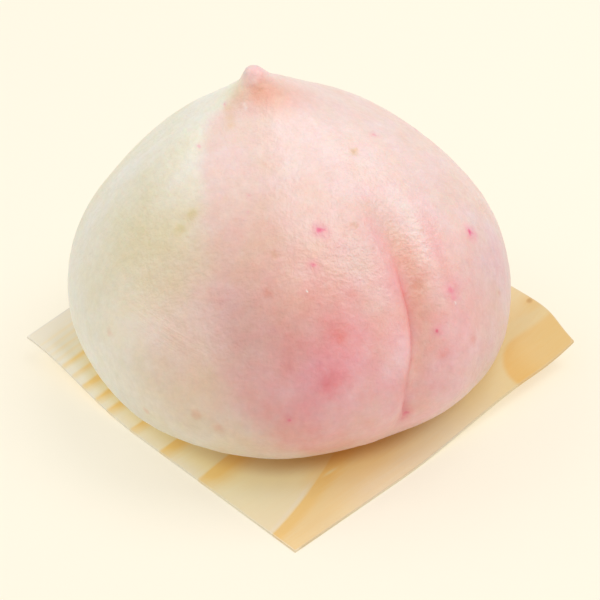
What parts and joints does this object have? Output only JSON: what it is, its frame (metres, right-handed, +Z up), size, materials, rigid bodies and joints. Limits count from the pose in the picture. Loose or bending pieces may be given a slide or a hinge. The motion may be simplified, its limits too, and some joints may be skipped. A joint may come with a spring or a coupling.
{
  "type": "steamed peach bun",
  "caption": "Peach-shaped steamed bun of soft pale dough with a blushed side, a pinched tip and a side cleft, resting on its curled wood veneer liner.",
  "frame": {"origin": "middle of the liner's flat underside, on the surface it stands on", "axes": "+Z up through the bun; -Y towards the liner's front corner and the viewer; +X to the viewer's right, towards the liner's right corner"},
  "size_m": [0.106, 0.106, 0.0639],
  "materials": {
    "dough": null,
    "veneer": "raw thin softwood veneer, unvarnished, straight grain with orange latewood bands"
  },
  "bodies": {
    "root": {"bun": "dough", "veneer_liner": "veneer"}
  },
  "joints": []
}
